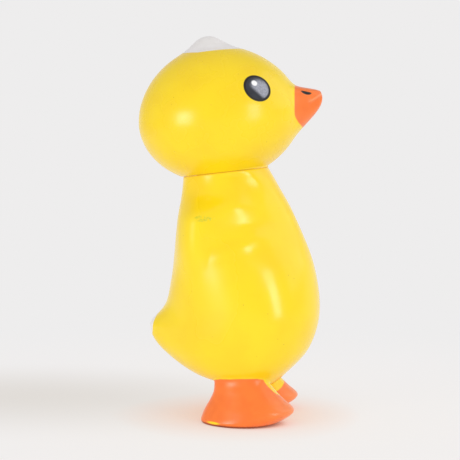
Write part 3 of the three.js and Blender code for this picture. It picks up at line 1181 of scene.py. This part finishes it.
@dataclass
class HeadMoulding:
    """The hollow head: an egg along the neck axis with beak and crown tuft drawn out of it, and painted eyes.

    Sizes are measured in the neck joint's frame, rises from the joint face.
    """

    neck: NeckJoint
    equator: float = 25.7
    back: float = 38.2
    front: float = 39.0
    half: float = 35.5
    crown: float = 34.4
    crown_setback: float = 1.5
    crown_fullness: float = 1.87
    chin_rim: float = 1.0
    chin_fullness: float = 1.85
    beak_reach: float = 10.8
    beak_half: float = 14.2
    beak_taper: float = 2.4
    beak_root: float = 11.0
    beak_tip: float = 31.5
    beak_top: float = 32.3
    beak_brow: float = 36.9
    beak_brow_foot: float = 3.0
    beak_foot_share: float = 0.25
    beak_paint_back: float = 36.35
    beak_paint_lean: float = 0.1
    beak_paint_middle: float = 26.5
    beak_paint_half: float = 14.4
    beak_paint_down: float = 9.8
    tuft_reach: float = 4.4
    tuft_spread: float = 6.4
    tuft_power: float = 2.6
    tuft_paint_rise: float = 56.3
    tuft_paint_behind: float = -5.0
    tuft_paint_slope: float = 0.16
    eye: PaintedEye = PaintedEye()
    eye_centre: tuple[float, float, float] = (21.4, 27.15, 36.1)
    eye_outward: tuple[float, float, float] = (0.44, 0.79, 0.43)
    nostril_start: float = 39.9
    nostril_end: float = 44.5
    nostril_rise: float = 31.8
    nostril_sag: float = 0.07
    nostril_cut: float = 0.8
    nostril_depth: float = 0.5
    nostril_paint_half: float = 0.75
    nostril_paint_edges: tuple[float, float] = (1.15, 0.85)
    nostril_out_of_reach: float = 9.0
    mouth_start: float = 42.0
    mouth_end: float = 48.0
    mouth_rise: float = 30.3
    mouth_slope: float = 0.57
    mouth_depth: float = 0.5
    mouth_fade: float = 2.5
    mouth_sides: tuple[float, float] = (0.5, 2.5)
    lower_lip_edge: tuple[float, float] = (0.0, 0.9)
    lower_lip_end: tuple[float, float] = (1.0, 4.5)
    upper_lip_share: float = 0.7
    upper_lip_rise: float = 0.5
    upper_lip_spread: float = 0.6
    lip_sheen_wear_rise: float = 0.3
    lip_sheen_wear_spread: float = 0.45
    lip_sheen_wear_fade: float = 3.0
    lip_sheen_wear_edges: tuple[float, float] = (0.2, 1.2)
    rings: int = 200
    columns: int = 300
    crowding: float = 0.55
    core_rings: int = 48

    def reaches(self, rise: np.ndarray, inset: float) -> tuple[np.ndarray, np.ndarray, np.ndarray]:
        """Reaches to the back and front and half of the width of the sections at some rises.

        Above the equator all three close in on the crown as one oval. Below it each closes in on the neck's
        radius at the joint face, the chin a little above it.

        Args:
            rise: Rises above the joint face.
            inset: How far the skin lies inside the outer one.

        Returns:
            Back, front and half, one value for each rise.
        """
        above = rise - self.equator
        share = oval_quarter(above / (self.crown - inset), self.crown_fullness)

        def lower(reach: float, stop: float, fullness: float) -> np.ndarray:
            """One reach below the equator, an oval whose drop is such that it meets the neck at a stop."""
            drop = (self.equator - stop) / oval_quarter(np.array(self.neck.radius / reach), fullness) - inset
            return (reach - inset) * oval_quarter(-above / drop, fullness)

        high = above >= 0
        setback = self.crown_setback
        back = np.where(high, setback + (self.back - setback - inset) * share, lower(self.back, 0, 2))
        chin = np.maximum(lower(self.front, self.chin_rim, self.chin_fullness), self.neck.radius - inset)
        front = np.where(high, -setback + (self.front + setback - inset) * share, chin)
        half = np.where(high, (self.half - inset) * share, lower(self.half, 0, 2))
        return back, front, half

    def sections(self, lowest: float, inset: float, count: int) -> np.ndarray:
        """Sections of the egg from a lowest rise to just below the crown, evenly spaced round it.

        Args:
            lowest: The first section's rise.
            inset: How far they lie inside the outer skin.
            count: How many sections.

        Returns:
            Points as sections by columns by three, in the joint's frame.
        """
        start = math.asin((lowest - self.equator) / self.equator)
        levels = np.linspace(start, math.pi / 2, count + 1)[:-1]
        rise = self.equator + np.sin(levels) * np.where(levels < 0, self.equator, self.crown - inset)
        back, front, half = (values[:, None] for values in self.reaches(rise, inset))
        angles = angles_round(self.columns, self.crowding)
        x = (front - back) / 2 + (front + back) / 2 * np.cos(angles)
        return np.stack([x, half * np.sin(angles), np.broadcast_to(rise[:, None], x.shape)], axis=-1)

    def drawn_out(self, points: np.ndarray) -> np.ndarray:
        """The egg's skin with the beak drawn forward and the tuft drawn up.

        The beak fades to its sides as a power of 1 minus y squared, grows from its root to its tip as a
        raised cosine, and ends above in a step with a softer foot. The tuft is a bell about the crown.

        Args:
            points: Points of the plain egg.

        Returns:
            The moved points.
        """
        x, y, z = np.moveaxis(points, -1, 0)
        side = np.clip(1 - (y / self.beak_half) ** 2, 0, None) ** self.beak_taper
        share = np.clip((z - self.beak_root) / (self.beak_tip - self.beak_root), 0, 1)
        under = 0.5 - 0.5 * np.cos(np.pi * share)
        step = 1 - smoothstep(z, self.beak_top, self.beak_brow)
        foot = 1 - smoothstep(z, self.beak_top, self.beak_brow + self.beak_brow_foot)
        over = step + self.beak_foot_share * (foot - step)
        tuft = bell(np.hypot(x + self.crown_setback, y), self.tuft_spread, self.tuft_power)
        drawn = points.copy()
        drawn[..., 0] += np.where(x > 0, self.beak_reach * side * under * over, 0)
        drawn[..., 2] += np.where(z > self.equator, self.tuft_reach * tuft, 0)
        return drawn

    def carved(self, rings: np.ndarray) -> np.ndarray:
        """The skin with the nostril slits and the mouth line pressed into the beak along its normals.

        A nostril is a cone over an oval. Below the mouth line the lower lip steps in and runs out again, and
        above it the upper lip stands out as a bell.

        Args:
            rings: Points as rings by columns by three, in the joint's frame.

        Returns:
            The moved points.
        """
        x, y = rings[..., 0], rings[..., 1]
        along, off = self.nostril_place(rings)
        slit = np.clip(1 - np.hypot(along, off / self.nostril_cut), 0, 1)
        below = -self.above_mouth(rings)
        lips = smoothstep(x, self.mouth_start, self.mouth_start + self.mouth_fade)
        lips = lips * smoothstep(np.abs(y), *self.mouth_sides)
        lower_lip = smoothstep(below, *self.lower_lip_edge) * (1 - smoothstep(below, *self.lower_lip_end))
        upper_lip = self.upper_lip_share * bell(below + self.upper_lip_rise, self.upper_lip_spread)
        depth = self.nostril_depth * slit + self.mouth_depth * lips * (lower_lip - upper_lip)
        return rings - depth[..., None] * grid_normals(rings)

    def above_mouth(self, points: np.ndarray) -> np.ndarray:
        """How far points lie above the sloping mouth line."""
        return points[..., 2] - self.mouth_rise - self.mouth_slope * (points[..., 0] - self.mouth_end)

    def nostril_place(self, points: np.ndarray) -> tuple[np.ndarray, np.ndarray]:
        """Where points lie on a nostril, which follows a parabola.

        Args:
            points: Points in the joint's frame.

        Returns:
            The place along the nostril, from -1 to 1, and the millimetres above or below it.
        """
        middle = (self.nostril_start + self.nostril_end) / 2
        half = (self.nostril_end - self.nostril_start) / 2
        x, z = points[..., 0], points[..., 2]
        return (x - middle) / half, z - self.nostril_rise - self.nostril_sag * (x - self.nostril_end) ** 2

    def build(self) -> bpy.types.Object:
        """One skin: down the inside from the crown, round the floor and its hole, and up the outside.

        Returns:
            The head, with its paint kept as fields.
        """
        neck = self.neck
        profile = [
            (neck.hole_radius, neck.floor_top),
            (neck.hole_radius, neck.clearance),
            *neck.rounded_edge(neck.radius, neck.clearance, upward=False),
        ]
        inner = self.sections(neck.floor_top, neck.wall, self.core_rings)[::-1]
        floor = neck.rings(profile, angles_round(self.columns, self.crowding))
        outer = self.sections(neck.clearance + neck.edge_round, 0.0, self.rings)
        rings = np.concatenate([inner, floor, self.carved(self.drawn_out(outer))])
        inner_top = np.array([-self.crown_setback, 0.0, self.equator + self.crown - neck.wall])
        outer_top = self.drawn_out(np.array([-self.crown_setback, 0.0, self.equator + self.crown]))
        poles = neck.placed(np.stack([inner_top, outer_top]))
        head = closed_skin("head_moulding", neck.placed(rings), *poles)
        self.write_paint(head.data)
        finish_shading(head.data)
        return head

    def write_paint(self, mesh: bpy.types.Mesh) -> None:
        """Keeps where each point lies in the eyes, the beak, the nostrils, the tuft and the seam.

        Distances are millimetres. An eye's level and raised directions lie square to its outward one, and the
        eyes mirror each other.

        Args:
            mesh: The finished head.
        """
        points = self.neck.unplaced(points_of(mesh))
        x, y, z = points.T
        # Painted shade: the neck seam is painted darker.
        write_field(mesh, "seam_shade", 1 - smoothstep(z - self.neck.clearance, 0, self.neck.edge_round))
        outward = np.array(self.eye_outward) / np.linalg.norm(self.eye_outward)
        level = np.array([outward[1], -outward[0], 0.0])
        raised = np.array([0.0, 0.0, 1.0]) - outward[2] * outward
        reach = np.stack([x, np.abs(y), z], axis=-1) - self.eye_centre
        write_field(mesh, "eye_away", np.linalg.norm(reach, axis=-1))
        write_field(mesh, "eye_level", reach @ level / np.linalg.norm(level))
        write_field(mesh, "eye_raised", reach @ raised / np.linalg.norm(raised))
        up = z - self.beak_paint_middle
        oval = np.hypot(y / self.beak_paint_half, np.minimum(up, 0) / self.beak_paint_down)
        ahead = x - self.beak_paint_back - self.beak_paint_lean * up
        write_field(mesh, "beak_paint", np.minimum(ahead, (1 - oval) * self.beak_paint_down))
        # Painted highlight along the lip, where the paint is also worn.
        lip = bell(self.above_mouth(points) - self.lip_sheen_wear_rise, self.lip_sheen_wear_spread)
        lip = lip * smoothstep(x, self.mouth_start, self.mouth_start + self.lip_sheen_wear_fade)
        write_field(mesh, "lip_sheen_wear", lip)
        along, off = self.nostril_place(points)
        write_field(mesh, "nostril_along", np.where(x > 0, along, self.nostril_out_of_reach))
        write_field(mesh, "nostril_off", off)
        drop = self.tuft_paint_slope * np.clip(self.tuft_paint_behind - x, 0, None)
        write_field(mesh, "tuft_paint", z - self.tuft_paint_rise - drop)

    def dress(self, head: bpy.types.Object) -> None:
        """Dresses the head in satin yellow vinyl and sets it on its body."""
        set_on_body(head, self.material(), "head")

    def material(self) -> bpy.types.Material:
        """Satin yellow vinyl: an orange beak, black nostrils, white crown and painted eyes.

        A paler orange along the lip is a painted highlight where the paint is also worn, the eyes' grey is a
        painted reflection, and the neck seam is painted darker as shade.

        Returns:
            The material.
        """
        vinyl = VinylMaterial(HEAD_VINYL)
        vinyl.lay(ORANGE_PAINT, vinyl.sprayed(ORANGE_PAINT, "beak_paint"))
        # Painted highlight along the lip, where the paint is also worn.
        vinyl.lay(LIT_AND_WORN_ORANGE, vinyl.mask("lip_sheen_wear", *self.lip_sheen_wear_edges))
        vinyl.lay(WHITE_PAINT, vinyl.sprayed(WHITE_PAINT, "tuft_paint"))
        self.lay_nostrils(vinyl)
        self.eye.lay(vinyl)
        # Painted shade: the neck seam is painted darker.
        vinyl.lay(SEAM_SHADE, vinyl.mask("seam_shade", *SEAM_SHADE_EDGES))
        return vinyl.finish()

    def lay_nostrils(self, vinyl: VinylMaterial) -> None:
        """Paints the nostrils: black inside an oval along each slit.

        Args:
            vinyl: The material that is painted.
        """
        tree = vinyl.tree
        along, off = (
            add_node(tree, "ShaderNodeAttribute", {"attribute_name": name}).outputs["Fac"]
            for name in ("nostril_along", "nostril_off")
        )
        place = add_node(tree, "ShaderNodeCombineXYZ", {}, X=along, Y=off).outputs[0]
        scale = (1.0, 1 / self.nostril_paint_half, 1.0)
        place = add_node(tree, "ShaderNodeVectorMath", {"operation": "MULTIPLY"}, in_0=place, in_1=scale)
        oval = add_node(tree, "ShaderNodeVectorMath", {"operation": "LENGTH"}, in_0=place.outputs[0])
        vinyl.lay(BLACK_PAINT, vinyl.mask(oval.outputs["Value"], *self.nostril_paint_edges))


@dataclass(frozen=True)
class Softbox:
    """A rectangular studio light that faces the figure.

    Azimuth is measured from the camera's side towards the figure's front, elevation up from the floor.
    """

    name: str
    azimuth_deg: float
    elevation_deg: float
    distance: float
    width: float
    height: float
    radiance: float


@dataclass
class Studio:
    """The pale floor and backdrop, the softboxes and the camera.

    The camera stands 600 mm away, turned a little towards the figure's front and pitched down. The paper
    glows with painted light and shade: paler near the figure, a painted shadow behind it, a painted contact
    shadow with an orange bounce under its feet, and an even tone far away.
    """

    camera_distance: float = 600.0
    camera_height: float = 122.7
    camera_turn_deg: float = 5.5
    camera_nearest: float = 10.0
    image_size: float = 460.0
    focal_pixels: float = 1268.0
    horizon_row: float = 157.0
    sweep_half: float = 2500.0
    sweep_back: float = 900.0
    sweep_radius: float = 500.0
    sweep_front: float = 1500.0
    sweep_height: float = 2500.0
    sweep_steps: int = 24
    backdrop_colour: str = "#EEEDED"
    floor_colour: str = "#FAF5F0"
    floor_glow: float = 0.8
    near_lit_colour: str = "#F5F3F3"
    near_reach: float = 50.0
    far_reach: float = 340.0
    contact_reach: float = 40.0
    contact_samples: int = 16
    contact_glow: float = 0.75
    contact_shadow_colour: str = "#FAC8B0"
    deep_shadow_colour: str = "#A85030"
    deep_shadow_share: float = 0.35
    shade_colour: str = "#E2DEDA"
    shade_place: tuple[float, float] = (-120.0, 35.0)
    shade_reach: tuple[float, float] = (200.0, 110.0)
    dim_limit: float = 300.0
    dim_start: float = 450.0
    dim_end: float = 1200.0
    dim_glow: float = 0.55
    room_colour: str = "#FFFFFF"
    ambient: float = 0.62
    lamp_aim: float = 90.0
    softboxes: tuple[Softbox, ...] = (
        Softbox("left_softbox", -48.5, 2.0, 900.0, 300.0, 380.0, 8.0),
        Softbox("right_softbox", 43.0, 10.0, 900.0, 200.0, 500.0, 6.0),
        Softbox("high_softbox", 95.0, 35.0, 900.0, 700.0, 700.0, 0.8),
    )

    def build(self) -> None:
        """Makes the sweep, lights and camera."""
        self.build_sweep()
        self.light_room()
        for softbox in self.softboxes:
            self.hang(softbox)
        self.aim_camera()

    def build_sweep(self) -> None:
        """One sheet: flat floor, a quarter-round bend behind the figure and an upright backdrop."""
        turns = np.linspace(0, math.pi / 2, self.sweep_steps)
        flat = self.sweep_back - self.sweep_radius
        y = np.concatenate([[-self.sweep_front], flat + self.sweep_radius * np.sin(turns), [self.sweep_back]])
        z = np.concatenate([[0], self.sweep_radius * (1 - np.cos(turns)), [self.sweep_height]])
        left = np.stack([np.full_like(y, -self.sweep_half), y, z], axis=-1)
        right = left * (-1, 1, 1)
        count = len(y)
        here = np.arange(count - 1)
        faces = np.stack([here, count + here, count + here + 1, here + 1], axis=-1)
        mesh = bpy.data.meshes.new("studio_sweep")
        mesh.from_pydata(np.vstack([left, right]) * MM, [], faces.tolist())
        mesh.polygons.foreach_set("use_smooth", np.ones(len(mesh.polygons), bool))
        sweep = bpy.data.objects.new("studio_sweep", mesh)
        sweep.data.materials.append(self.sweep_material())
        bpy.context.scene.collection.objects.link(sweep)
        log.info("%s: %d faces", sweep.name, len(mesh.polygons))

    def sweep_material(self) -> bpy.types.Material:
        """Matt white paper: lit and shadowed near the figure, with a painted contact shadow and orange bounce
        under its feet, and an even pale tone away from it.

        Returns:
            The material.
        """
        paper = NodeMaterial("matt_white_paper_sweep")
        tree, place = paper.tree, paper.place
        reach = add_node(tree, "ShaderNodeVectorMath", {"operation": "LENGTH"}, in_0=place).outputs["Value"]
        away = paper.mask(reach, self.near_reach * MM, self.far_reach * MM)
        rays = {"samples": self.contact_samples}
        contact = self.contact_reach * MM
        sky = add_node(tree, "ShaderNodeAmbientOcclusion", rays, Distance=contact).outputs["AO"]
        # Painted contact shadow: the paper glows less where it is hidden from the room, near the feet.
        far, clear = (
            add_node(tree, "ShaderNodeMapRange", {}, Value=value, To_Min=lowest).outputs["Result"]
            for value, lowest in ((away, self.floor_glow), (sky, self.contact_glow))
        )
        even = add_node(tree, "ShaderNodeMath", {"operation": "MULTIPLY"}, in_0=far, in_1=clear).outputs[0]
        # Painted light: the glow is paler near the figure, and the shade is a painted shadow behind it.
        tone: Any = linear(self.near_lit_colour)
        for mask, colour in ((away, self.backdrop_colour), (self.shade(paper), self.shade_colour)):
            tones = {"in_6": tone, "in_7": linear(colour)}
            tone = add_node(tree, "ShaderNodeMix", COLOUR_MIX, in_0=mask, **tones).outputs[2]
        # Painted contact shadow: darker and redder, with an orange bounce, where the paper is hidden near the
        # feet.
        deep_shadow = paper.mask(sky, 0.0, self.deep_shadow_share)
        for mask, colour in ((sky, self.contact_shadow_colour), (deep_shadow, self.deep_shadow_colour)):
            tones = {"in_6": linear(colour), "in_7": tone}
            tone = add_node(tree, "ShaderNodeMix", COLOUR_MIX, in_0=mask, **tones).outputs[2]
        lit = add_node(tree, "ShaderNodeBsdfDiffuse", {}, Color=linear(self.floor_colour)).outputs[0]
        glow = add_node(tree, "ShaderNodeEmission", {}, Color=tone, Strength=self.dimming(paper)).outputs[0]
        return paper.closed(add_node(tree, "ShaderNodeMixShader", {}, in_0=even, in_1=lit, in_2=glow))

    def shade(self, paper: NodeMaterial) -> bpy.types.NodeSocket:
        """A mask of the soft shade on the floor to the figure's rear: an oval that fades out to its edge.

        Args:
            paper: The material that is shaded.

        Returns:
            The mask.
        """
        scale = [1 / (reach * MM) for reach in self.shade_reach]
        shift = [-place / reach for place, reach in zip(self.shade_place, self.shade_reach)]
        fit = {"operation": "MULTIPLY_ADD"}
        ends = {"in_1": (*scale, scale[0]), "in_2": (*shift, 0.0)}
        oval = add_node(paper.tree, "ShaderNodeVectorMath", fit, in_0=paper.place, **ends)
        away = add_node(paper.tree, "ShaderNodeVectorMath", {"operation": "LENGTH"}, in_0=oval.outputs[0])
        return paper.mask(away.outputs["Value"], 1.0, 0.0)

    def dimming(self, paper: NodeMaterial) -> bpy.types.NodeSocket:
        """How brightly the paper glows: 1 near the figure, less with the distance to its rear or above it.

        Args:
            paper: The material that glows.

        Returns:
            The strength.
        """
        far_ahead = (self.dim_limit * MM, self.sweep_half * MM, self.sweep_height * MM)
        upright = (1.0, 0.0, 1.0)
        tree, place = paper.tree, paper.place
        for operation, other in (("MINIMUM", far_ahead), ("MULTIPLY", upright)):
            step = add_node(tree, "ShaderNodeVectorMath", {"operation": operation}, in_0=place, in_1=other)
            place = step.outputs[0]
        aside = add_node(tree, "ShaderNodeVectorMath", {"operation": "LENGTH"}, in_0=place).outputs["Value"]
        ends = {"From_Min": self.dim_start * MM, "From_Max": self.dim_end * MM}
        glow = {"To_Min": 1.0, "To_Max": self.dim_glow}
        return add_node(tree, "ShaderNodeMapRange", {}, Value=aside, **ends, **glow).outputs["Result"]

    def light_room(self) -> None:
        """A weak even light from all round."""
        world = bpy.data.worlds.new("studio_room")
        world.use_nodes = True
        tree = world.node_tree
        tree.nodes.clear()
        colour = linear(self.room_colour)
        room = add_node(tree, "ShaderNodeBackground", {}, Color=colour, Strength=self.ambient)
        add_node(tree, "ShaderNodeOutputWorld", {}, Surface=room.outputs[0])
        bpy.context.scene.world = world

    def hang(self, softbox: Softbox) -> None:
        """Hangs a softbox on its bearing, facing the figure's middle, with power from its radiance and area.

        Args:
            softbox: The softbox.
        """
        turn = math.radians(self.camera_turn_deg + softbox.azimuth_deg)
        rise = math.radians(softbox.elevation_deg)
        light = bpy.data.lights.new(softbox.name, "AREA")
        light.shape = "RECTANGLE"
        light.size = softbox.width * MM
        light.size_y = softbox.height * MM
        light.energy = softbox.radiance * math.pi * light.size * light.size_y
        lamp = bpy.data.objects.new(softbox.name, light)
        reach = softbox.distance * MM
        lamp.location = (
            reach * math.sin(turn) * math.cos(rise),
            -reach * math.cos(turn) * math.cos(rise),
            self.lamp_aim * MM + reach * math.sin(rise),
        )
        lamp.rotation_euler = (math.pi / 2 - rise, 0, turn)
        bpy.context.scene.collection.objects.link(lamp)
        log.info("%s: %.2f W", softbox.name, light.energy)

    def aim_camera(self) -> None:
        """Stands the camera at the photograph's angle; the horizon's row gives its pitch."""
        turn = math.radians(self.camera_turn_deg)
        pitch = math.atan((self.image_size / 2 - self.horizon_row) / self.focal_pixels)
        camera = bpy.data.cameras.new("camera")
        camera.angle = 2 * math.atan(self.image_size / 2 / self.focal_pixels)
        camera.clip_start = self.camera_nearest * MM
        stand = bpy.data.objects.new("camera", camera)
        stand.location = (
            self.camera_distance * math.sin(turn) * MM,
            -self.camera_distance * math.cos(turn) * MM,
            self.camera_height * MM,
        )
        stand.rotation_euler = (math.pi / 2 - pitch, 0, turn)
        bpy.context.scene.collection.objects.link(stand)
        bpy.context.scene.camera = stand


def main() -> None:
    """Builds and dresses the mouldings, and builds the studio."""
    logging.basicConfig(level=logging.INFO)
    bpy.context.scene.view_settings.view_transform = "Standard"
    joint = frame["joints"][0]
    neck = NeckJoint(np.array(joint["pos_m"]) / MM, np.array(joint["axis"]))
    body = BodyMoulding(neck, Torso(neck), (Foot(Side.LEFT), Foot(Side.RIGHT)))
    head = HeadMoulding(neck)
    for moulding in (body, head):
        moulding.dress(moulding.build())
    Studio().build()


if __name__ == "__main__":
    main()
